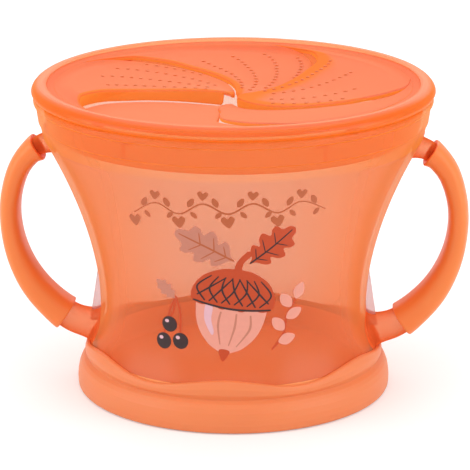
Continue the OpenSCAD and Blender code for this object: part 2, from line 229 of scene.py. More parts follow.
class Nodes:
    """Shorthand for the node tree of a material or the world. between, blend and mix give the
    number, colour or shader that runs from their first value to their second with fac."""

    def __init__(self, owner, output="ShaderNodeOutputMaterial"):
        self.owner = owner
        owner.use_nodes = True
        self.tree = owner.node_tree
        self.tree.nodes.clear()
        self.output = self.add(output)

    def add(self, kind, values=None, **settings):
        node = self.tree.nodes.new(kind)
        for key, value in settings.items():
            setattr(node, key, value)
        for key, value in (values or {}).items():
            socket = node.inputs[key]
            if isinstance(value, bpy.types.NodeSocket):
                self.tree.links.new(value, socket)
            else:
                socket.default_value = value
        return node

    def math(self, operation, a, b=0.0, clamp=False):
        return self.add("ShaderNodeMath", {0: a, 1: b}, operation=operation,
                        use_clamp=clamp).outputs[0]

    def place(self):
        return self.add("ShaderNodeTexCoord").outputs["Object"]

    def noise(self, scale, detail=3.0):
        return self.add("ShaderNodeTexNoise", {"Vector": self.place(), "Scale": scale,
                                               "Detail": detail, "Roughness": 0.5}).outputs["Fac"]

    def between(self, fac, low, high):
        return self.add("ShaderNodeMapRange", {
            "Value": fac, "To Min": low, "To Max": high}).outputs["Result"]

    def ramp(self, value, start, end):
        """0 up to start, 1 from end, and a smooth rise between."""
        return self.add("ShaderNodeMapRange", {"Value": value, "From Min": start, "From Max": end},
                        interpolation_type="SMOOTHSTEP").outputs["Result"]

    def blend(self, fac, a, b):
        a, b = (c if isinstance(c, bpy.types.NodeSocket) else (*c, 1) for c in (a, b))
        return self.add("ShaderNodeMix", {"Factor": fac, 6: a, 7: b}, data_type="RGBA").outputs[2]

    def mix(self, fac, a, b):
        return self.add("ShaderNodeMixShader", {0: fac, 1: a.outputs[0], 2: b.outputs[0]})

    def bump(self, height, strength, distance):
        return self.add("ShaderNodeBump", {
            "Height": height, "Strength": strength, "Distance": distance}).outputs["Normal"]

    def done(self, shader):
        self.tree.links.new(shader.outputs[0], self.output.inputs["Surface"])
        return self.owner


def srgb(r, g, b):
    """Linear colour of an 8-bit one."""
    return tuple(v / 12.92 if v <= 0.04045 else ((v + 0.055) / 1.055) ** 2.4
                 for v in (c / 255 for c in (r, g, b)))


LEAST_COSINE = 0.16         # ends the growth of the way through a wall met at a slant
MIRROR, MIRROR_POWER = 0.022, 4.0           # reflection met head on, and how it grows
CLOUD_SCALE, CLOUD_SHARE = 28.0, 0.06       # slow unevenness of the plastic
RIPPLE_SCALE, RIPPLE_HEIGHT = 90.0, 0.0006


def clear_plastic(name, body, tint, deep, opacity, gloss, wave=0.04, through=0.45, middle=None,
                  rim=None, sheen=0.3, turning=None):
    """Milky translucent plastic, for one face of a wall. At a slant opacity grows and tint turns to
    deep, over the range of slant in turning if given. through is the share of the scattered light
    that comes from behind. middle is (colour, r_from, r_to): a body colour nearer the axis, which
    gives way to body from r_from to r_to metres. rim is (colour, opacity) where the mesh's rim value
    is 1: painted shade along the flap edges."""
    m = Nodes(bpy.data.materials.new(name))
    facing = m.add("ShaderNodeLayerWeight", {"Blend": 0.5}).outputs["Facing"]
    cosine = m.math("MAXIMUM", m.math("SUBTRACT", 1.0, facing), LEAST_COSINE)
    longer = m.math("DIVIDE", 1.0, cosine)
    cloud = m.noise(CLOUD_SCALE, 2.0)
    opaque = m.math("SUBTRACT", 1.0, m.math("POWER", 1.0 - opacity, longer))
    uneven = m.between(cloud, 1 - CLOUD_SHARE, 1 + CLOUD_SHARE)
    opaque = m.math("MULTIPLY", opaque, uneven, clamp=True)
    slant = m.ramp(facing, *turning) if turning else m.math("MULTIPLY", facing, facing)
    seen = m.add("ShaderNodeBsdfTransparent", {"Color": m.blend(slant, tint, deep)})
    colour = m.blend(cloud, body, tuple(c * 0.95 for c in body))
    if middle:
        inner, r_from, r_to = middle
        flat = m.add("ShaderNodeVectorMath", {0: m.place(), 1: (1, 1, 0)}, operation="MULTIPLY")
        size = m.add("ShaderNodeVectorMath", {0: flat.outputs[0]}, operation="LENGTH")
        colour = m.blend(m.ramp(size.outputs["Value"], r_from, r_to), inner, colour)
    if rim:
        # thick here is the weight of the painted shade along the flap edges, not a thickness
        thick = m.add("ShaderNodeAttribute", attribute_name="rim").outputs["Fac"]
        colour = m.blend(thick, colour, rim[0])
        opaque = m.math("ADD", opaque, m.math("MULTIPLY", thick, rim[1] - opacity), clamp=True)
    ripple = m.bump(m.noise(RIPPLE_SCALE, 2.0), wave, RIPPLE_HEIGHT)
    front = m.add("ShaderNodeBsdfDiffuse", {"Color": colour, "Normal": ripple})
    back = m.add("ShaderNodeBsdfTranslucent", {"Color": colour, "Normal": ripple})
    layer = m.mix(opaque, seen, m.mix(through, front, back))
    shine = m.add("ShaderNodeBsdfGlossy", {
        "Color": (1, 1, 1, 1), "Roughness": gloss, "Normal": ripple})
    outside = m.math("SUBTRACT", 1.0, m.add("ShaderNodeNewGeometry").outputs["Backfacing"])
    edge = m.math("ADD", MIRROR, m.math("MULTIPLY", sheen, m.math("POWER", facing, MIRROR_POWER)))
    return m.done(m.mix(m.math("MULTIPLY", edge, outside), layer, shine))


def soft_rubber(name, colour, shade, rough):
    """Opaque soft-touch elastomer with a fine blasted grain."""
    m = Nodes(bpy.data.materials.new(name))
    cloud = m.noise(45.0)
    return m.done(m.add("ShaderNodeBsdfPrincipled", {
        "Base Color": m.blend(cloud, colour, shade),
        "Roughness": m.between(cloud, rough - 0.05, rough + 0.06),
        "Normal": m.bump(m.noise(2600.0, 2.0), 0.12, 0.0001),
        "Subsurface Weight": 0.25,
        "Subsurface Radius": (1.0, 0.45, 0.2),
        "Subsurface Scale": 0.002,
        "IOR": 1.45,
    }))


def ink(name, colour):
    """Screen-printed ink: nearly flat, with a slightly uneven lay."""
    m = Nodes(bpy.data.materials.new(name))
    cloud = m.noise(700.0)
    return m.done(m.add("ShaderNodeBsdfPrincipled", {
        "Base Color": m.blend(cloud, colour, tuple(c * 0.9 for c in colour)),
        "Roughness": m.between(cloud, 0.34, 0.46),
        "Normal": m.bump(cloud, 0.05, 0.00005),
        "IOR": 1.45,
    }))


# the cup's head-on tint, greyer and lower in red than its slant colour, is painted shade for the dim
# inside seen through the middle; the deeper colour at a slant is the plastic's own
CUP_PLASTIC = clear_plastic("cup_plastic", (0.94, 0.41, 0.13), (0.938, 0.82, 0.77),
                            (0.998, 0.78, 0.68), 0.195, gloss=0.26, sheen=0.1, turning=(0.1, 0.62))
CUP_BAND = clear_plastic("cup_plastic_band", (0.98, 0.44, 0.08), (0.998, 0.83, 0.72),
                         (0.998, 0.64, 0.42), 0.21, gloss=0.26, sheen=0.1)
# the faces in the boot get a brighter, nearly opaque copy of the cup plastic: painted light for the
# shaded space down in the boot
CUP_FOOT_PAINTED_LIGHT = clear_plastic("cup_plastic_foot_painted_light", (1.0, 0.38, 0.125), (0.998, 0.84, 0.72),
                         (0.998, 0.64, 0.42), 0.85, gloss=0.3, sheen=0.1, through=0.02)
LID_PLASTIC = clear_plastic("lid_plastic", (0.985, 0.30, 0.02), (0.998, 0.80, 0.56),
                            (0.99, 0.58, 0.32), 0.35, gloss=0.25, sheen=0.18,
                            middle=((0.965, 0.40, 0.19), 0.0531, 0.0546))
# its rim colour is painted shade along the edges of some flaps
SHEET_SOFT = clear_plastic("flap_sheet", (0.97, 0.39, 0.21), (0.995, 0.83, 0.79),
                           (0.99, 0.64, 0.52), 0.26, gloss=0.2, wave=0.08, through=0.4,
                           rim=((0.98, 0.30, 0.07), 0.55))
NIB_SOFT = clear_plastic("flap_nibs", (0.84, 0.25, 0.06), (0.97, 0.6, 0.4),
                         (0.92, 0.45, 0.28), 0.68, gloss=0.3)
LIP_SOFT = clear_plastic("flap_lips", (1.0, 0.48, 0.09), (0.99, 0.68, 0.44),
                         (0.99, 0.55, 0.32), 0.55, gloss=0.25, wave=0.05)
ARM_PLASTIC = clear_plastic("arm_plastic", (0.99, 0.26, 0.065), (0.995, 0.69, 0.53),
                            (0.99, 0.54, 0.36), 0.38, gloss=0.14)
FIN_PLASTIC = clear_plastic("fin_plastic", (0.80, 0.60, 0.58), (0.95, 0.86, 0.86),
                            (0.92, 0.80, 0.80), 0.35, gloss=0.14)
GRIP_SOFT = soft_rubber("grip_rubber", (0.95, 0.25, 0.055), (0.91, 0.225, 0.048), rough=0.4)
BOOT_SOFT = soft_rubber("boot_rubber", (0.87, 0.25, 0.085), (0.83, 0.23, 0.078), rough=0.45)
# the boot's inside faces get a brighter copy of the boot rubber: painted light where the inside of
# the boot lies in shade
BOOT_INSIDE_PAINTED_LIGHT = soft_rubber("boot_rubber_inside_painted_light", (1.0, 0.50, 0.19), (1.0, 0.46, 0.17), rough=0.45)

INK = {name: ink(f"ink_{name}", srgb(*colour)) for name, colour in (
    ("beige", (240, 160, 140)), ("brown", (200, 70, 20)), ("dark", (50, 25, 25)),
    ("pink", (235, 185, 195)), ("mauve", (205, 130, 107)), ("line", (190, 95, 50)))}


# ---- cup

FLOOR_FLAT_R = 30           # the foot's floor is flat inside this radius
LOOK_MARGIN = 0.4           # the band's and the foot's looks change this far from an edge


def cup_profile():
    """The cup from the axis under its foot, up outside, over the rim and down inside."""
    heights = np.concatenate([
        np.linspace(FOOT_TOP_Z, WAIST_Z, 14)[:-1], np.linspace(WAIST_Z, FLARE_Z, 44)])
    outside = [(0, FOOT_Z), (FLOOR_FLAT_R, FOOT_Z)]
    outside += filleted([(FLOOR_FLAT_R, FOOT_Z, 0), (FOOT_R, FOOT_Z, 1.2), (FOOT_R, 6, 0)], 8)[1:]
    outside += [(float(cup_r(z)), float(z)) for z in heights]
    rim = filleted([
        (FLARE_R, FLARE_Z, 0), (BAND_R - BAND_STEP, BAND_Z - 0.1, 0.15),
        (BAND_R, BAND_Z + 0.2, 0.25), (RIM_UNDER_R, RIM_UNDER_Z, 0.3),
        (RIM_BEAD_R, RIM_UNDER_Z + 0.6, 0.7), (RIM_BEAD_R, RIM_Z, 0.8),
        (RIM_UNDER_R - WALL, RIM_Z, 0.25), (BAND_R - BAND_STEP - WALL, BAND_Z, 0.3),
        (FLARE_R - WALL, FLARE_Z, 0),
    ], 6)
    outside += rim[1:]
    inside = [(float(cup_r(z)) - WALL, float(z)) for z in heights[::-1][1:] if z > FOOT_TOP_Z + 0.5]
    floor = filleted([
        (FOOT_R - WALL, FOOT_TOP_Z - 1, 0), (FOOT_R - WALL, FOOT_Z + WALL, 1.6),
        (FLOOR_FLAT_R, FOOT_Z + WALL, 0),
    ], 8)
    return outside + inside + floor + [(0, FOOT_Z + WALL)]


def cup_looks(points, faces):
    """0 for the wall, 1 for the band round the lid's collar, 2 for the faces in the boot, which carry
    painted light.
    """
    points = np.asarray(points, float)
    looks = []
    for f in faces:
        z = points[list(f), 2].mean()
        in_band, in_boot = z > COLLAR_FOOT_Z - LOOK_MARGIN, z < EDGE_Z - WAVE - LOOK_MARGIN
        looks.append(1 if in_band else 2 if in_boot else 0)
    return looks


cup_mesh = turned_solid(cup_profile())
cup = build("cup_wall", *cup_mesh, [CUP_PLASTIC, CUP_BAND, CUP_FOOT_PAINTED_LIGHT], "cup",
            looks=cup_looks(*cup_mesh), slot="clear_cup")
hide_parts("cup_shell")


# ---- handles

# the bar's centre line at y = 0, from its upper root to its lower: x, z, thickness and width
BOW = np.array([
    [46.5, 70.0, 5.6, 10.5], [50.2, 68.7, 5.2, 9.6], [54.6, 66.9, 4.9, 8.8],
    [59.3, 61.2, 4.3, 8.8], [61.9, 52.5, 3.9, 9.0], [61.9, 43.5, 4.0, 9.2],
    [59.6, 34.5, 4.8, 9.4], [54.9, 26.2, 6.0, 9.4], [47.4, 18.9, 7.2, 9.2],
    [41.2, 16.2, 7.9, 9.6], [34.0, 15.6, 9.4, 12.0],
])
BAR_ROUNDNESS, BAR_SIDES = 2.6, 40
ROOT_GROWS, ROOT_REACH = 0.22, 1.1      # the fillet where the bar meets the wall
WALL_CLEAR = 0.03
# the sleeve's first and last station on the bar, its skin, its width to the bar's, and its play
GRIP_FROM, GRIP_TO, GRIP_SKIN, GRIP_WIDTH, FIT_GAP = 1.9, 8.05, 0.9, 1.08, 0.06
GRIP_END = ((0.0, 0.22), (0.012, 0.09), (0.035, 0.02), (0.07, 0.0))     # (stations in, drop)
SWELL, SWELL_REACH = 0.12, 0.5                  # the sleeve thickens towards its ends
HOOK, HOOK_AT, HOOK_REACH = 0.55, 0.16, 0.13    # the bump inside its upper end


def on_bow(s):
    """Centre, thickness and width of the bar at station s: a smooth curve through BOW's rows."""
    last = len(BOW) - 1
    i = min(int(math.floor(s)), last - 1)
    return spline(BOW[max(i - 1, 0)], BOW[i], BOW[i + 1], BOW[min(i + 2, last)], s - i)


def bow_frame(s):
    """on_bow(s) and the bar's outward direction there, in x and z."""
    here = on_bow(s)
    step = on_bow(min(s + 0.05, len(BOW) - 1)) - on_bow(max(s - 0.05, 0))
    run = math.hypot(step[0], step[1])
    return here, np.array([-step[1], step[0]]) / run


def bow_ring(s, skin, widen=1.0, inner_extra=0.0):
    """Closed ring round the bar at s, grown by skin, and by inner_extra on the cup's side."""
    here, out = bow_frame(s)
    ring = []
    for k in range(BAR_SIDES):
        a = TAU * k / BAR_SIDES
        cos, sin = math.cos(a), math.sin(a)
        grown = skin + inner_extra * max(0.0, -cos)
        t = (here[2] / 2 + grown) * math.copysign(abs(cos) ** (2 / BAR_ROUNDNESS), cos)
        w = (here[3] / 2 * widen + skin) * math.copysign(abs(sin) ** (2 / BAR_ROUNDNESS), sin)
        ring.append((here[0] + out[0] * t, w, here[1] + out[1] * t))
    return ring


def off_wall(point):
    """point, moved straight out of the cup's wall if it is inside it."""
    x, y, z = point
    r = math.hypot(x, y)
    least = float(outer_r(z)) + WALL_CLEAR
    if r >= least:
        return point
    return (x * least / r, y * least / r, z)


def arm_rings():
    """The bar from the upper root to the lower, with a fillet where it meets the wall."""
    rings = []
    stations = np.concatenate([
        np.linspace(0, 2, 41)[:-1], np.linspace(2, 8, 60)[:-1], np.linspace(8, 10, 41)])
    for s in stations:
        here = on_bow(s)
        centre = np.array([here[0], 0, here[1]])
        ring = []
        for p in bow_ring(s, 0):
            p = np.array(p)
            gap = math.hypot(p[0], p[1]) - float(outer_r(p[2]))
            grow = ROOT_GROWS * math.exp(-max(gap, 0) / ROOT_REACH)
            ring.append(off_wall(tuple(centre + (p - centre) * (1 + grow))))
        rings.append(ring)
    return rings


def on_side(side, points, faces):
    """The right handle's points and faces, or their mirror image for the left one."""
    if side == "right":
        return points, faces
    return [(-x, y, z) for x, y, z in points], [tuple(reversed(f)) for f in faces]


def handle(side):
    arm = build(f"handle_bar_{side}", *on_side(side, *loft(arm_rings())), [ARM_PLASTIC], "cup",
                slot="clear_handle")
    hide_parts(f"handle_frame_{side}")


def grip(side):
    """Soft sleeve: outside from end to end, and back through the bore."""
    rings = []
    stations = [(GRIP_FROM + d, -drop) for d, drop in GRIP_END]
    stations += [(s, 0.0) for s in np.linspace(GRIP_FROM + 0.12, GRIP_TO - 0.12, 90)]
    stations += [(GRIP_TO - d, -drop) for d, drop in GRIP_END[::-1]]
    for s, drop in stations:
        inset = min(s - GRIP_FROM, GRIP_TO - s)
        swell = SWELL * max(0.0, 1 - inset / SWELL_REACH)
        hook = HOOK * math.exp(-((s - GRIP_FROM - HOOK_AT) / HOOK_REACH) ** 2)
        rings.append(bow_ring(s, GRIP_SKIN + swell + drop, GRIP_WIDTH, inner_extra=hook))
    bore = [bow_ring(s, FIT_GAP) for s in np.linspace(GRIP_TO, GRIP_FROM, 60)]
    sleeve = build(f"soft_grip_{side}", *on_side(side, *loft(rings + bore, closed_along=True)),
                   [GRIP_SOFT], "cup", slot="soft_grip")
    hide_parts(f"grip_sleeve_{side}")


FIN_T, FIN_FOOT_R, FIN_FOOT_Z, FIN_TOP_Z, FIN_LOW_Z = 2.0, 39.9, 19.0, 33.0, 17.0


def fin(side):
    """Thin fin along the wall, that thickens downwards into the lower arm."""
    rings = []
    for z in np.linspace(FIN_LOW_Z, FIN_TOP_Z, 34):
        t = (z - FIN_FOOT_Z) / (FIN_TOP_Z - FIN_FOOT_Z)
        wall = float(outer_r(z)) + 0.02
        reach = FIN_FOOT_R + (float(outer_r(FIN_TOP_Z)) - FIN_FOOT_R) * t
        reach = max(reach, wall) + 0.12 * (1 - max(0, t))
        knee = wall + (reach - wall) * 0.6
        half = FIN_T / 2 * (0.55 + 0.45 * (1 - t))
        rings.append([(x, y, z) for x, y in (
            (wall, -half), (knee, -half), (reach, -half * 0.6), (reach + 0.02, 0.0),
            (reach, half * 0.6), (knee, half), (wall, half))])
    build(f"handle_fin_{side}", *on_side(side, *loft(rings)), [FIN_PLASTIC], "cup",
          slot="clear_handle")


for side in ("left", "right"):
    handle(side)
    grip(side)
    fin(side)


# ---- boot

BOOT_FIT = 0.12             # gap between the cup and the boot
BOOT_BED_Z = FOOT_Z - 0.05  # top of the boot's floor
BOOT_FLAT_R = TREAD_R - 0.7


def boot_section(azimuth):
    """Closed section of the boot's wall: skirt, groove and wavy rolled edge."""
    top = edge_at(azimuth)
    rise = top - GROOVE_Z
    foot = FOOT_R + BOOT_FIT
    inner = float(cup_r(top - 0.3)) + BOOT_FIT if top - 0.3 > FOOT_TOP_Z else foot
    outer = GROOVE_R - 0.1
    middle = (inner + outer) / 2
    return filleted([
        (BOOT_FLAT_R, BOOT_FLOOR_Z, 0.2), (TREAD_R, 0, 0.2), (BOOT_R - 0.1, 0, 0.9),
        (BOOT_R, 2.2, 1.0), (BOOT_R - 0.1, 3.8, 1.2), (BOOT_R - 0.4, 5.5, 1.2),
        (BOOT_R - 0.95, 6.9, 0.8), (BOOT_R - 1.65, 7.8, 0.5),
        (GROOVE_R - 0.15, GROOVE_Z - 0.05, 0.3),
        (outer + 0.62, GROOVE_Z + rise * 0.28, 1.0), (outer + 0.66, GROOVE_Z + rise * 0.6, 1.2),
        (middle + 0.75, top - 0.05, 0.9), (inner + 0.1, top - 0.05, 0.45),
        (min(foot, inner + 0.5) if top < FOOT_TOP_Z + 0.4 else foot,
         min(top - 0.6, FOOT_TOP_Z + 0.1), 0.2),
        (foot, FOOT_Z + 0.5, 0.2), (FOOT_R - 0.6, BOOT_BED_Z, 0.2), (BOOT_FLAT_R, BOOT_BED_Z, 0),
    ], 5)


# the section's last point outside: 12 corners of 6 points each, and half of the next
OUTSIDE_TO = 12 * 6 + 3


def boot():
    """The boot: its wall all round, and its floor from a disc below and one above."""
    turns = [TAU * s / AROUND for s in range(AROUND)]
    rings = [[polar(r, a, z) for r, z in boot_section(a)] for a in turns]
    points, faces = loft(rings, closed_along=True)
    points = list(map(tuple, points))
    n = len(rings[0])
    low, high = len(points), len(points) + 1
    points += [(0, 0, BOOT_FLOOR_Z), (0, 0, BOOT_BED_Z)]
    # the section's last side would close it inside the floor, so it is left out
    keep = [f for i, f in enumerate(faces) if i % n != n - 1]
    # faces past OUTSIDE_TO, and the top of the floor, take the inside's painted light
    looks = [int(i % n > OUTSIDE_TO) for i in range(len(faces)) if i % n != n - 1]
    for s in range(AROUND):
        t = (s + 1) % AROUND
        keep.append((low, s * n, t * n))
        keep.append((high, t * n + n - 1, s * n + n - 1))
        looks += [0, 1]
    piece = build("boot_skirt", points, [tuple(reversed(f)) for f in keep],
                  [BOOT_SOFT, BOOT_INSIDE_PAINTED_LIGHT], "cup", looks=looks, slot="soft_boot")
    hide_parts("base_boot")


boot()


# ---- lid

# the bead's outside: inset from BEAD_R, drop below LID_Z and radius of each corner
BEAD_SIDE = (
    (0.3, 3.1, 0.4), (0.0, 2.5, 0.4), (0.05, 2.1, 0.5), (0.35, 1.45, 0.6), (0.95, 0.75, 0.6),
    (1.7, 0.22, 0.4), (2.25, 0.0, 0.3),
)
SEAT_DROP = 1.15            # of the lip that holds the sheet's rim, below LID_Z


def ring_profile():
    """The lid's ring: bead, seat of the soft sheet and collar."""
    return filleted([
        (collar_r(BEAD_UNDER_Z), BEAD_UNDER_Z, 0.15), (BEAD_R - 1.0, BEAD_UNDER_Z, 0.3),
        *((BEAD_R - inset, LID_Z - drop, radius) for inset, drop, radius in BEAD_SIDE),
        (RING_INNER_R + 0.75, LID_Z - 0.05, 0.4), (RING_INNER_R, LID_Z - 0.45, 0.3),
        (RING_INNER_R, LID_Z - SEAT_DROP, 0.05), (SEAT_R, LID_Z - SEAT_DROP, 0),
        (SEAT_R, SEAT_Z, 0), (collar_inner_r(SEAT_Z), SEAT_Z, 0.4),
        (collar_inner_r(COLLAR_FOOT_Z), COLLAR_FOOT_Z, 0.6),
        (collar_r(COLLAR_FOOT_Z), COLLAR_FOOT_Z, 0.6),
    ], 6)


ring = build("lid_rim", *turned_solid(ring_profile()), [LID_PLASTIC], "lid", slot="lid_ring")
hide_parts("lid_ring")


def collar_rib(name, azimuth, wide, low, high, proud=0.45):
    """Low rib on the collar's inner face: azimuth and width in degrees, heights and rise in mm."""
    rings = []
    for t in np.linspace(-1, 1, 9):
        a = math.radians(azimuth + t * wide / 2)
        side = math.sqrt(max(0.0, 1 - abs(t) ** 6))
        ring = [polar(collar_inner_r(z) + 0.02 - proud * out * side, a, z) for z, out in (
            (low, 0.0), (low + 0.2, 1.0), (high - 0.2, 1.0), (high, 0.0))]
        ring += [polar(collar_inner_r(z) + 0.3, a, z) for z in (high, low)]
        rings.append(ring)
    build(name, *loft(rings), [LID_PLASTIC], "lid", slot="lid_ring")


# lines and a dark rectangle are seen through the band at each side, and repeated at the back;
# inward is the turn towards the middle of the front or back
for n, (azimuth, inward) in enumerate(((-122.0, 1), (-58.0, -1), (58.0, 1), (122.0, -1))):
    collar_rib(f"collar_rib_{n}a", azimuth, 0.7, 75.0, 79.6)
    collar_rib(f"collar_rib_{n}b", azimuth + inward * 1.7, 3.4, 79.2, 79.9)
    collar_rib(f"collar_lug_{n}", azimuth - inward * 9.0, 4.2, 81.4, 83.3, 0.9)


# ---- flaps

# As in the CAD frame: five blades in a shallow dish, with a slit before each. A tuple of five has
# one value for each slit, counted from the one before flap 1, or for each flap.
PITCH, SLIT_FROM, SLIT_FROM_R = 72.0, 90, 7.6       # slit 0 passes azimuth 90 at radius 7.6
SPIRAL = 1.24                       # degrees that a slit turns for each mm of radius
CURL, CURL_R, CURL_POWER = 9, 48.4, 24              # its extra turn near the rim
SLIT_LEAN, LEAN_FROM_R, LEAN_END_R = (0, 10, 15, -12, 9), 16, (38, 38, 38, 38, 46)
SLIT = (0.34, 0.40, 0.16, 0.24, 0.34)               # widths
POCKET, POCKET_OPENS, POCKET_CLOSES = (1.35, 0.8, 1.35, 1.45, 1.15), (29, 38), (44, 48.5)
DISH, DISH_R, SHEET_T, SHEET_RIM_Z, RIM_R = 3.8, 50.4, 1.0, 86.0, 48.9
# how far the edges of a slit stand above and below the dish, as factors of TILT
TILT, TILT_FROM_R, TILT_END_R = 1.45, (43.5, 43.5, 46, 43.5, 43.5), (48.5, 48.5, 50, 48.5, 48.5)
RISE_IN, RISE_OUT = (0.25, 0.7, 0, -0.35, 0.5), (0.35, 1, -0.1, -0.15, 0.7)
FALL_IN, FALL_OUT, OUT_R = (0.25, 1, 0, -0.35, 0.5), (0.35, 1.4, -0.5, -0.45, 0.7), 40
SAG, SAG_R = (0, 1.7, 1.7, 0.2, 0), 26              # how far a blade's middle hangs
TRAIL_LIP, LEAD_LIP = (0.9, 0.9, 0.9, 0.9, 2.4), (0.9, 0.9, 0.9, 1.4, 0.9)
LIP_SHARE, LIP_CLEAR, LIP_LEAST = 0.38, (0.3, 0.1, -0.4, -0.45, 0.4), 0.15
TIP_R, TIP_ROUND = 1.5, 1.7


def fades(r, span):
    """1 up to the first radius of span, 0 from the second, and a smooth fall between."""
    return 1 - float(eased((r - span[0]) / (span[1] - span[0])))


def slit_azimuth(k, r):
    """Azimuth in degrees of slit k at radius r."""
    return (SLIT_FROM + PITCH * k + SPIRAL * (r - SLIT_FROM_R) + CURL * (r / CURL_R) ** CURL_POWER
            + SLIT_LEAN[k % 5] * fades(r, (LEAN_FROM_R, LEAN_END_R[k % 5])))


def slit_turn(r, w):
    """Degrees that leave w mm across from a slit's line at radius r."""
    lean = math.atan(r * SPIRAL * math.pi / 180)
    return math.degrees(w / (r * math.cos(lean)))


def dish_z(r):
    """Height of the dish at radius r."""
    return SHEET_RIM_Z - DISH * (1 - (min(r, DISH_R) / DISH_R) ** 2)


def step_at(s, r, middle, out):
    """How far a blade's edge at slit s stands off the dish."""
    return (TILT * fades(r, (TILT_FROM_R[s], TILT_END_R[s]))
            * (middle[s] + (out[s] - middle[s]) * min(1, r / OUT_R)))


def sheet_z(k, r, v):
    """Height of the top of flap k + 1, v running from 0 at its leading edge to 1."""
    after = (k + 1) % 5
    return (dish_z(r) - SAG[k] * fades(r, (0, SAG_R))
            + v * step_at(after, r, RISE_IN, RISE_OUT) - (1 - v) * step_at(k, r, FALL_IN, FALL_OUT))


def pocket_at(s, r):
    """Extra width of slit s at radius r, so that neighbours clear each other as they fold."""
    return POCKET[s] * (1 - fades(r, POCKET_OPENS)) * fades(r, POCKET_CLOSES)


def blade_start(k, r):
    """Azimuth in degrees of blade k's leading edge."""
    return slit_azimuth(k, r) + slit_turn(r, SLIT[k] / 2)


def blade_width(k, r):
    """Degrees from blade k's leading edge to its trailing edge."""
    after = (k + 1) % 5
    end = slit_azimuth(k + 1, r) - slit_turn(r, SLIT[after] / 2 + pocket_at(after, r))
    return end - blade_start(k, r)


def blade_point(k, r, v, z):
    return polar(r, math.radians(blade_start(k, r) + v * blade_width(k, r)), z)


# mm from a blade's edge that the section follows, and the most of its width that they take;
# FAR is clear of the rounding
EDGE_AT, EDGE_SHARE = (0.0, 0.04, 0.12, 0.24, 0.42, 1.0, 1.6, 2.2, 2.8), 0.3
EDGE_ROUND, FAR = 0.4, 9
BLADE_MIDDLE, BLADE_ALONG = 24, 100
# a section's points: top, lip of the trailing edge, underside, lip of the leading edge
TOP_N, LIP_N = 2 * len(EDGE_AT) + BLADE_MIDDLE + 1, 8
UNDER_AT = TOP_N + LIP_N
LEAD_AT = UNDER_AT + TOP_N
TIP_AT = (0.0, 0.06, 0.16, 0.3, 0.5)    # mm from the tip, over its rounding
TIP_LEN = TIP_AT[-1]


def lip_points(k, r, v_edge, v_back, z_edge, foot, share):
    """From the edge's top down and round the lip's foot; v_back is its inner side."""
    inward = v_back - v_edge
    z_edge -= 0.02
    down = [(v_edge, z_edge + (foot + 0.22 * share - z_edge) * t) for t in (0.25, 0.5, 0.75, 1.0)]
    down += [(v_edge + 0.07 * inward, foot + 0.06 * share), (v_edge + 0.28 * inward, foot),
             (v_edge + 0.75 * inward, foot), (v_back, foot + 0.12 * share)]
    return [blade_point(k, r, v, z) for v, z in down]


def blade_section(k, v_radii, share):
    """Closed loop across blade k, at radius v_radii(v) for each v; share thins the rounded tip."""
    r0, r1 = v_radii(0.0), v_radii(1.0)
    mm0, mm1 = (slit_turn(r, 1.0) / blade_width(k, r) for r in (r0, r1))
    before, after = (k + 4) % 5, (k + 1) % 5
    v0 = min(LIP_SHARE, LEAD_LIP[k] * mm0)
    v1 = 1 - min(LIP_SHARE, TRAIL_LIP[after] * mm1)
    near0, near1 = (min(1.0, EDGE_SHARE / (EDGE_AT[-1] * mm)) for mm in (mm0, mm1))
    across = [(d * near0 * mm0, d * near0) for d in EDGE_AT]
    low, high = across[-1][0], 1 - EDGE_AT[-1] * near1 * mm1
    steps = BLADE_MIDDLE + 2
    across += [(low + (high - low) * j / steps, FAR) for j in range(1, steps)]
    across += [(1 - d * near1 * mm1, d * near1) for d in EDGE_AT[::-1]]
    thick = SHEET_T * share
    top = []
    for v, near in across:
        r = v_radii(v)
        z = sheet_z(k, r, v) - (SHEET_T - thick) / 2
        if near < EDGE_ROUND:
            rounded = math.sqrt(max(0.0, EDGE_ROUND ** 2 - (EDGE_ROUND - near) ** 2))
            z -= share * (EDGE_ROUND - rounded)
        top.append(blade_point(k, r, v, z))
    feet = []
    for r, v, other, w, s in ((r1, 1.0, after, 0.0, after), (r0, 0.0, before, 1.0, k)):
        z = sheet_z(k, r, v)
        foot = min(z - SHEET_T - LIP_LEAST, sheet_z(other, r, w) + LIP_CLEAR[s])
        middle = z - SHEET_T / 2
        feet.append(middle - (middle - foot) * share)
    under = []
    for v, _ in across[::-1]:
        r = v_radii(v)
        w = v0 + v * (v1 - v0)
        under.append(blade_point(k, r, w, sheet_z(k, r, w) - SHEET_T + (SHEET_T - thick) / 2))
    trail = lip_points(k, r1, 1.0, v1, top[-1][2], feet[0], share)
    lead = lip_points(k, r0, 0.0, v0, top[0][2], feet[1], share)[::-1]
    return top + trail + under + lead


def tip_radius(v):
    """Radius at which a blade's rounded tip starts."""
    return TIP_R + TIP_ROUND * abs(2 * v - 1) ** 2.5


def blade_rings(k):
    rings = []
    for d in TIP_AT:
        share = max(0.25, math.sqrt(max(0.0, 1 - (1 - d / TIP_LEN) ** 2)))
        rings.append(blade_section(k, lambda v, d=d: tip_radius(v) + d, share))
    for i in range(1, BLADE_ALONG + 1):
        t = i / BLADE_ALONG
        rings.append(blade_section(
            k, lambda v, t=t: tip_radius(v) + TIP_LEN + (RIM_R - tip_radius(v) - TIP_LEN) * t, 1.0))
    return rings


# rows of nibs on the three flaps that have them: place across, and first and last radius
NIB_ROWS = {
    1: ((0.055, 24.5, 39.5), (0.26, 12.5, 41.0), (0.53, 10.5, 39.5), (0.82, 8.5, 35.5)),
    4: ((0.085, 16.5, 32.0), (0.31, 12.5, 35.0), (0.66, 11.0, 37.5), (0.90, 9.0, 40.5)),
    5: ((0.075, 26.5, 43.5), (0.27, 13.5, 43.5), (0.52, 8.5, 40.8), (0.80, 8.5, 36.0)),
}
NIB_R, NIB_H, NIB_SUNK, NIB_STEP, NIB_SIDES = 0.60, 0.28, 0.12, 2.85, 10


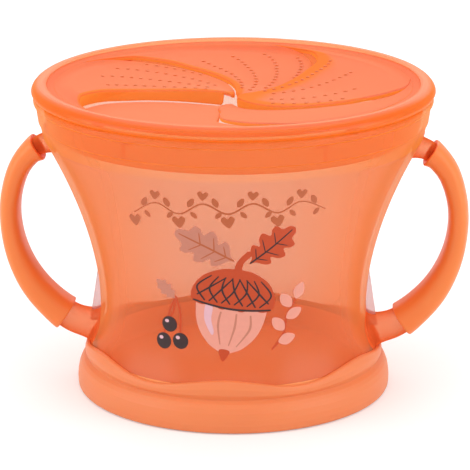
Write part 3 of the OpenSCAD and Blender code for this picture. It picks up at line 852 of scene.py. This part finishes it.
def nib(centre):
    """(points, faces) of a small dome that reaches a little into the sheet."""
    x, y, z = centre
    n = NIB_SIDES
    turns = np.linspace(0, math.pi / 2, 4)[:-1]
    levels = [(NIB_R, -NIB_SUNK)] + [(NIB_R * math.cos(t), NIB_H * math.sin(t)) for t in turns]
    rings = [[(*p, z + up) for p in disc(x, y, r, n=n)] for r, up in levels]
    points, faces = loft(rings, cap=False)
    top = len(points)
    faces += [(top - n + k, top - n + (k + 1) % n, top) for k in range(n)]
    faces.append(tuple(range(n - 1, -1, -1)))
    return [*map(tuple, points), (x, y, z + NIB_H)], faces


def nib_places(k):
    for v, low, high in NIB_ROWS.get(k + 1, ()):
        r = low
        while r <= high:
            yield blade_point(k, r, v, sheet_z(k, r, v))
            r += NIB_STEP / math.sqrt(1 + (r * SPIRAL * math.pi / 180) ** 2)


# flaps whose edges get painted shade, a deeper colour where the neighbouring flaps' lips overhang
# them: its width in mm at the tip, and as (radius, width) along the leading and the trailing edge
NO_SHADE_BAND = [(0, 0), (50, 0)]
EDGE_SHADE_BANDS = {
    1: (3.4, NO_SHADE_BAND, [(4, 3.0), (12, 2.2), (30, 1.8), (46, 1.5)]),
    4: (9.0, [(3, 4.0), (22, 3.4), (30, 1.6), (38, 0)], [(3, 5.5), (20, 6.0), (40, 5.0), (47, 2.0)]),
    5: (2.6, NO_SHADE_BAND, [(4, 2.6), (14, 2.2), (28, 1.4), (50, 0.6)]),
}


def edge_shade_weight(k, p):
    """How much of the painted edge shade point p on top of blade k has."""
    if k + 1 not in EDGE_SHADE_BANDS:
        return 0.0
    tip, lead, trail = EDGE_SHADE_BANDS[k + 1]
    r = math.hypot(p[0], p[1])
    width = blade_width(k, r)
    turn = (math.degrees(math.atan2(p[1], p[0])) - blade_start(k, r) + 5) % 360 - 5
    mm = slit_turn(r, 1.0)
    best = 0.0
    for gap, wide in (
            (turn / mm, np.interp(r, *zip(*lead))),
            ((width - turn) / mm, np.interp(r, *zip(*trail))),
            (r - tip_radius(min(1, max(0, turn / width))), tip)):
        if wide > 0.01:
            best = max(best, 1 - float(eased((gap / wide - 0.55) / 0.7)))
    return best


def blade(number):
    """A flap with its lips, ends and nibs."""
    k = number - 1
    rings = blade_rings(k)
    points, faces = loft(rings, cap=False)
    points = list(map(tuple, points))
    n = len(rings[0])
    # the top faces near some slit edges take painted shade
    rim = [edge_shade_weight(k, p) if i % n < TOP_N else 0.0 for i, p in enumerate(points)]
    looks = [0 if m < TOP_N - 1 or UNDER_AT <= m < LEAD_AT - 1 else 2 for m in range(n)]
    looks *= len(rings) - 1
    for base, flip in ((0, True), ((len(rings) - 1) * n, False)):
        under = base + UNDER_AT + TOP_N - 1          # under top point 0; it runs backwards
        ends = [(base + j, base + j + 1, under - j - 1, under - j) for j in range(TOP_N - 1)]
        ends.append(tuple(base + m for m in range(TOP_N - 1, UNDER_AT + 1)))
        ends.append((base, *(base + m for m in range(LEAD_AT - 1, n))))
        faces += [tuple(reversed(f)) if flip else f for f in ends]
        looks += [2] * len(ends)
    for place in nib_places(k):
        join(points, faces, *nib(place))
    looks += [1] * (len(faces) - len(looks))
    rim += [0.0] * (len(points) - len(rim))
    piece = build(f"flap_sheet_{number}", points, faces, [SHEET_SOFT, NIB_SOFT, LIP_SOFT],
                  looks=looks, slot="lid_membrane", rim=rim)
    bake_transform(piece)
    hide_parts(f"flap_{number}")


for number in range(1, 6):
    blade(number)

membrane_r, membrane_top = RIM_R + 0.03, LID_Z - 1.22
membrane = build("membrane_rim", *turned_solid(filleted([
    (membrane_r, dish_z(RIM_R) - 0.98, 0.1), (membrane_r, dish_z(RIM_R) - 0.01, 0.05),
    (RING_INNER_R - 0.45, SHEET_RIM_Z + 0.03, 0.6), (RING_INNER_R - 0.04, SHEET_RIM_Z + 0.16, 0.15),
    (RING_INNER_R - 0.04, membrane_top, 0.05), (SEAT_R - 0.1, membrane_top, 0.1),
    (SEAT_R - 0.1, SEAT_Z + 0.08, 0.1), (membrane_r, SEAT_Z + 0.08, 0.1),
], 5)), [SHEET_SOFT], "lid", slot="lid_membrane")
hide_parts("flap_membrane")


# ---- print

PRINT_AZIMUTH = -88.4       # of the print's middle
FILM_INSET, FILM_GRID = 0.7, 1.6        # points inside a film that let it follow the cup's curve
FILM_LOW, FILM_HIGH = (0.015, 0.012), (0.05, 0.03)      # heights of layer 0, and rise a layer


def on_cup(p, lift):
    """A point given as mm round from the print's middle and height, lift off the cup."""
    r = float(cup_r(p[1]))
    return polar(r + lift, math.radians(PRINT_AZIMUTH) + p[0] / r, p[1])


def curve(points, closed=False, per=7):
    """Smooth line through points."""
    p = np.asarray(points, float)
    n = len(p)
    at = (lambda i: p[i % n]) if closed else (lambda i: p[min(max(i, 0), n - 1)])
    out = []
    for i in range(n if closed else n - 1):
        a, b, c, d = at(i - 1), at(i), at(i + 1), at(i + 2)
        out += [spline(a, b, c, d, t) for t in np.arange(per) / per]
    if not closed:
        out.append(p[-1])
    return np.array(out)


def ribbon(points, start, end, middle=None):
    """Outline of a pen's line: widths at its start, middle and end."""
    line = curve(points)
    n = len(line)
    middle = max(start, end) if middle is None else middle
    way = np.gradient(line, axis=0)
    way /= np.linalg.norm(way, axis=1)[:, None]
    side = np.stack([-way[:, 1], way[:, 0]], 1)
    t = np.linspace(0, 1, n)
    half = np.interp(t, [0, 0.5, 1], [start / 2, middle / 2, end / 2])[:, None]
    tip = [line[-1] + way[-1] * half[-1] * 0.9]
    tail = [line[0] - way[0] * half[0] * 0.9]
    return np.concatenate([line - side * half, tip, (line + side * half)[::-1], tail])


def placed(points, where, turn, scale=1.0):
    """Points scaled, turned by turn degrees and moved."""
    p = np.asarray(points, float) * scale
    c, s = math.cos(math.radians(turn)), math.sin(math.radians(turn))
    return np.stack([p[:, 0] * c - p[:, 1] * s, p[:, 0] * s + p[:, 1] * c], 1) + where


def inside(p, outline):
    """Whether p lies inside the outline."""
    hit = False
    for (x0, y0), (x1, y1) in zip(outline, np.roll(outline, -1, 0)):
        if (y0 > p[1]) != (y1 > p[1]) and p[0] < (x1 - x0) * (p[1] - y0) / (y1 - y0) + x0:
            hit = not hit
    return hit


def film(outline, low, high):
    """(points, faces) of a thin layer of ink over an outline, wrapped on the cup."""
    outline = np.asarray(outline, float)
    x, y = outline[:, 0], outline[:, 1]
    if np.sum(x * np.roll(y, -1) - np.roll(x, -1) * y) < 0:
        outline = outline[::-1]
    n = len(outline)
    corners = [Vector(p) for p in outline]
    across, up = (np.arange(v.min() + FILM_INSET, v.max(), FILM_GRID) for v in outline.T)
    corners += [Vector((gx, gy)) for gx in across for gy in up if inside((gx, gy), outline)]
    border = [(i, (i + 1) % n) for i in range(n)]
    flat, _, tris, *_ = geometry.delaunay_2d_cdt(corners, border, [], 1, 1e-5)
    count = len(flat)
    points = [on_cup(p, high) for p in flat] + [on_cup(p, low) for p in flat]
    faces, once = [], {}
    for t in tris:
        a, b, c = (flat[i] for i in t)
        if (b - a).cross(c - a) < 0:
            t = t[::-1]
        t = tuple(t)
        faces += [t, tuple(i + count for i in reversed(t))]
        for edge in zip(t, t[1:] + t[:1]):
            if not once.pop(edge[::-1], False):
                once[edge] = True
    faces += [(i + count, j + count, j, i) for i, j in once]
    return points, faces


prints = {}


def printed(colour, outline, layer=0):
    """Add a film of one colour to the print; a higher layer lies over a lower one."""
    low, high = FILM_LOW[0] + FILM_LOW[1] * layer, FILM_HIGH[0] + FILM_HIGH[1] * layer
    prints.setdefault((colour, layer), []).append(film(outline, low, high))


def both_sides(half):
    """Closed outline from one half of it, whose first and last points are on its axis."""
    return half + [(-x, y) for x, y in half[-2:0:-1]]


ACORN_AT, ACORN_TURN = (0.5, 33.0), -9.0
NUT = both_sides([(0, -14.2), (-1.3, -12.4), (-4.6, -10.6), (-7.9, -6.6), (-9.4, -1.2), (-8.6, 3.2),
                  (0, 5.2)])
CAP = [(-10.9, 1.4), (-11.2, 4.6), (-9.0, 8.8), (-4.6, 11.6), (0, 12.3), (4.6, 11.6), (9.0, 8.8),
       (11.2, 4.6), (10.9, 1.4), (8.2, 0.3), (5.4, 0.9), (2.7, -0.2), (0, 0.5), (-2.7, -0.2),
       (-5.4, 0.9), (-8.2, 0.3)]
LEAF = both_sides([(0, 0), (0.8, 1.6), (3.2, 3.2), (4.1, 4.8), (2.5, 6.0), (4.4, 7.4), (5.2, 9.4),
                   (3.0, 10.6), (4.2, 12.2), (4.3, 13.9), (2.2, 14.6), (1.5, 16.6), (0, 17.6)])
HEART = both_sides([(0, -1.5), (1.4, 0.1), (1.5, 1.1), (0.75, 1.6), (0, 0.95)])
BUD = both_sides([(0, -1.6), (0.85, -0.4), (0.7, 0.9), (0, 1.7)])
PETAL = both_sides([(0, 0), (1.5, 1.7), (1.3, 3.6), (0, 5.0)])
GLINT = [(-6.9, 0.2), (-6.6, -4.0), (-4.2, -7.8), (-3.6, -7.0), (-4.8, -3.6), (-5.0, 0.2)]


def print_acorn():
    def put(colour, outline, layer):
        printed(colour, placed(outline, ACORN_AT, ACORN_TURN), layer)

    put("beige", curve(NUT, True), 0)
    put("pink", curve(GLINT, True), 1)
    for x in (-2.6, 1.6, 5.4):
        put("mauve", ribbon([(x, -1.0), (x * 1.06, -5.0), (x * 0.55, -10.2)], 0.45, 0.25, 0.6), 1)
    put("brown", curve([(-1.5, -12.0), (0, -14.7), (1.5, -12.0), (0, -11.4)], True), 1)
    put("brown", curve(CAP, True), 2)
    for i in range(6):
        x = -8.4 + 3.4 * i
        line = np.array([(x - 1.2, 1.7 if i else 3.0), (x + 1.4, 5.4), (x * 0.55 + 1.9, 9.4)])
        put("dark", ribbon(line, 0.4, 0.3, 0.5), 3)
        put("dark", ribbon(line * (-1, 1), 0.4, 0.3, 0.5), 4)
    edge = [(-10.4, 1.2), (-5.4, 0.6), (0, 0.3), (5.4, 0.6), (10.4, 1.2)]
    put("dark", ribbon(edge, 0.5, 0.5, 0.6), 3)
    put("brown", ribbon([(0, 11.6), (0.4, 14.6), (2.4, 17.6)], 2.2, 1.8, 1.7), 1)


def print_leaves():
    for colour, vein, where, turn, scale in (
            ("mauve", "line", (1.6, 47.6), 62, 1.02), ("brown", "dark", (5.4, 46.8), -50, 0.92)):
        printed(colour, placed(curve(LEAF, True, 5), where, turn, scale), 0)
        veins = [([(0, 0.4), (0.25, 8), (0, 16.4)], 0.5)]
        veins += [([(0, y), (side * w * 0.55, y + 1.1), (side * w, y + 2.0)], 0.3)
                  for y, w in ((2.6, 2.6), (6.0, 3.6), (10.0, 3.0)) for side in (-1, 1)]
        for line, width in veins:
            printed(vein, placed(ribbon(line, width, width * 0.6), where, turn, scale), 1)


def print_berries():
    for x, y in ((-16.6, 27.6), (-13.4, 23.2), (-18.4, 22.6)):
        printed("brown", ribbon([(x, y + 1.8), (x * 0.6 - 5.4, 31.5), (-14.6, 36.0)], 0.6, 0.6), 0)
        printed("dark", disc(x, y, 2.25), 1)
        printed("pink", disc(x - 0.75, y + 0.85, 0.62, 0.5, 12), 2)
    printed("mauve", placed(curve(LEAF, True, 4), (-14.7, 35.4), 48, 0.42), 1)


def print_twig():
    stem = [(11.6, 21.4), (14.6, 25.0), (15.6, 30.0), (18.4, 35.6)]
    printed("brown", ribbon(stem, 0.6, 0.45, 0.8), 0)
    for where, turn in (((13.3, 23.2), -75), ((14.9, 26.4), 40), ((15.5, 29.8), -62),
                        ((16.9, 33.0), 36), ((18.3, 35.2), -22)):
        printed("beige", placed(curve(PETAL, True, 5), where, turn), 1)


def print_garland():
    vine = [(-26, 60.4), (-19.5, 64.4), (-13, 61.6), (-6.5, 65.2), (0, 62.2), (6.5, 65.4), (13, 62.2),
            (19.5, 65.2), (26.5, 61.8)]
    printed("line", ribbon(vine, 0.35, 0.35, 0.6), 0)
    for i, (x, y) in enumerate(vine[:-1]):
        mx, my = (x + vine[i + 1][0]) / 2, (y + vine[i + 1][1]) / 2
        drop, turn, scale = (2.4, -6, 0.9) if i % 2 else (-2.6, 8, 1.15)
        printed("line", placed(curve(HEART, True, 5), (x, y + drop), turn, scale), 1)
        above, below = (24, 140) if i % 2 else (-28, 40)
        printed("line", placed(curve(BUD, True, 4), (mx, my + 1.9), above, 0.95), 1)
        printed("line", placed(curve(BUD, True, 4), (mx + 0.8, my - 1.9), below, 0.75), 1)


for draw in (print_acorn, print_leaves, print_berries, print_twig, print_garland):
    draw()

for colour in INK:
    points, faces = [], []
    for (name, _), films in prints.items():
        for part in films if name == colour else ():
            join(points, faces, *part)
    build(f"print_{colour}", points, faces, [INK[colour]], "cup", slot="clear_cup")


# ---- stage, light

FLOOR_HALF, FLOOR_Z = 4.0, -0.0002
FLOOR_GREY, FLOOR_LIFT = 0.82, 0.26     # its colour, and what the camera sees added to it
AMBIENT = 0.55                          # the world's strength where the camera doesn't see it

h, z = FLOOR_HALF, FLOOR_Z
sheet = bpy.data.meshes.new("floor")
sheet.from_pydata([(-h, -h, z), (h, -h, z), (h, h, z), (-h, h, z)], [], [(0, 1, 2, 3)])
piece = linked("floor", sheet)

paper = Nodes(bpy.data.materials.new("floor_paper"))
rays = paper.add("ShaderNodeLightPath").outputs
mirrored = paper.math("ADD", rays["Is Glossy Ray"], rays["Is Transmission Ray"])
shown = paper.math("ADD", rays["Is Camera Ray"], mirrored, clamp=True)
matt = paper.add("ShaderNodeBsdfDiffuse", {"Color": (FLOOR_GREY, FLOOR_GREY, FLOOR_GREY, 1)})
lift = paper.add("ShaderNodeEmission", {"Strength": paper.math("MULTIPLY", shown, FLOOR_LIFT)})
both = paper.add("ShaderNodeAddShader", {0: matt.outputs[0], 1: lift.outputs[0]})
piece.data.materials.append(paper.done(both))

world = Nodes(bpy.data.worlds.new("studio"), "ShaderNodeOutputWorld")
in_view = world.add("ShaderNodeLightPath").outputs["Is Camera Ray"]
scene.world = world.done(world.add("ShaderNodeBackground", {
    "Color": (1, 1, 1, 1), "Strength": world.between(in_view, AMBIENT, 1.0)}))

# lamps: name, place, height on the axis that they face, size and watts
for name, place, aim_z, size, watts in (
        ("box_left", (-0.85, -0.35, 0.40), 0.05, (0.8, 0.8), 3.6),
        ("box_right", (0.85, -0.35, 0.40), 0.05, (0.8, 0.8), 3.6),
        ("box_front", (0.0, -0.95, 0.70), 0.05, (1.0, 0.6), 1.6),
        ("box_top", (0.0, 0.05, 0.80), 0.0, (0.9, 0.7), 2.6),
        ("box_back", (0.0, 0.95, 0.55), 0.08, (1.2, 0.5), 2.6)):
    lamp = bpy.data.lights.new(name, "AREA")
    lamp.shape = "RECTANGLE"
    lamp.size, lamp.size_y = size
    lamp.energy = watts
    box = linked(name, lamp)
    box.location = place
    box.rotation_mode = "QUATERNION"
    box.rotation_quaternion = (Vector((0, 0, aim_z)) - Vector(place)).to_track_quat("-Z", "Y")


# ---- camera

# fitted to the photo's outlines: focal length and the axis's column in its pixels, distance and
# height in metres, tilt and azimuth in degrees
WIDTH_PX, FOCAL_PX, AXIS_PX = 470, 2548.1, 233.43
REACH, HEIGHT, PITCH_DOWN, AZIMUTH = 0.67826, 0.24786, 16.856, 3.3
SENSOR_MM = 36.0

view = bpy.data.cameras.new("camera")
view.sensor_fit = "HORIZONTAL"
view.sensor_width = SENSOR_MM
view.lens = FOCAL_PX / WIDTH_PX * SENSOR_MM
view.shift_x = (WIDTH_PX / 2 - AXIS_PX) / WIDTH_PX
view.clip_start, view.clip_end = 0.05, 20
camera = linked("camera", view)
turn = math.radians(AZIMUTH)
camera.location = (REACH * math.sin(turn), -REACH * math.cos(turn), HEIGHT)
camera.rotation_euler = (math.radians(90 - PITCH_DOWN), 0, turn)
scene.camera = camera

scene.view_settings.view_transform = "Standard"
scene.cycles.transparent_max_bounces = 40
scene.cycles.max_bounces = 14
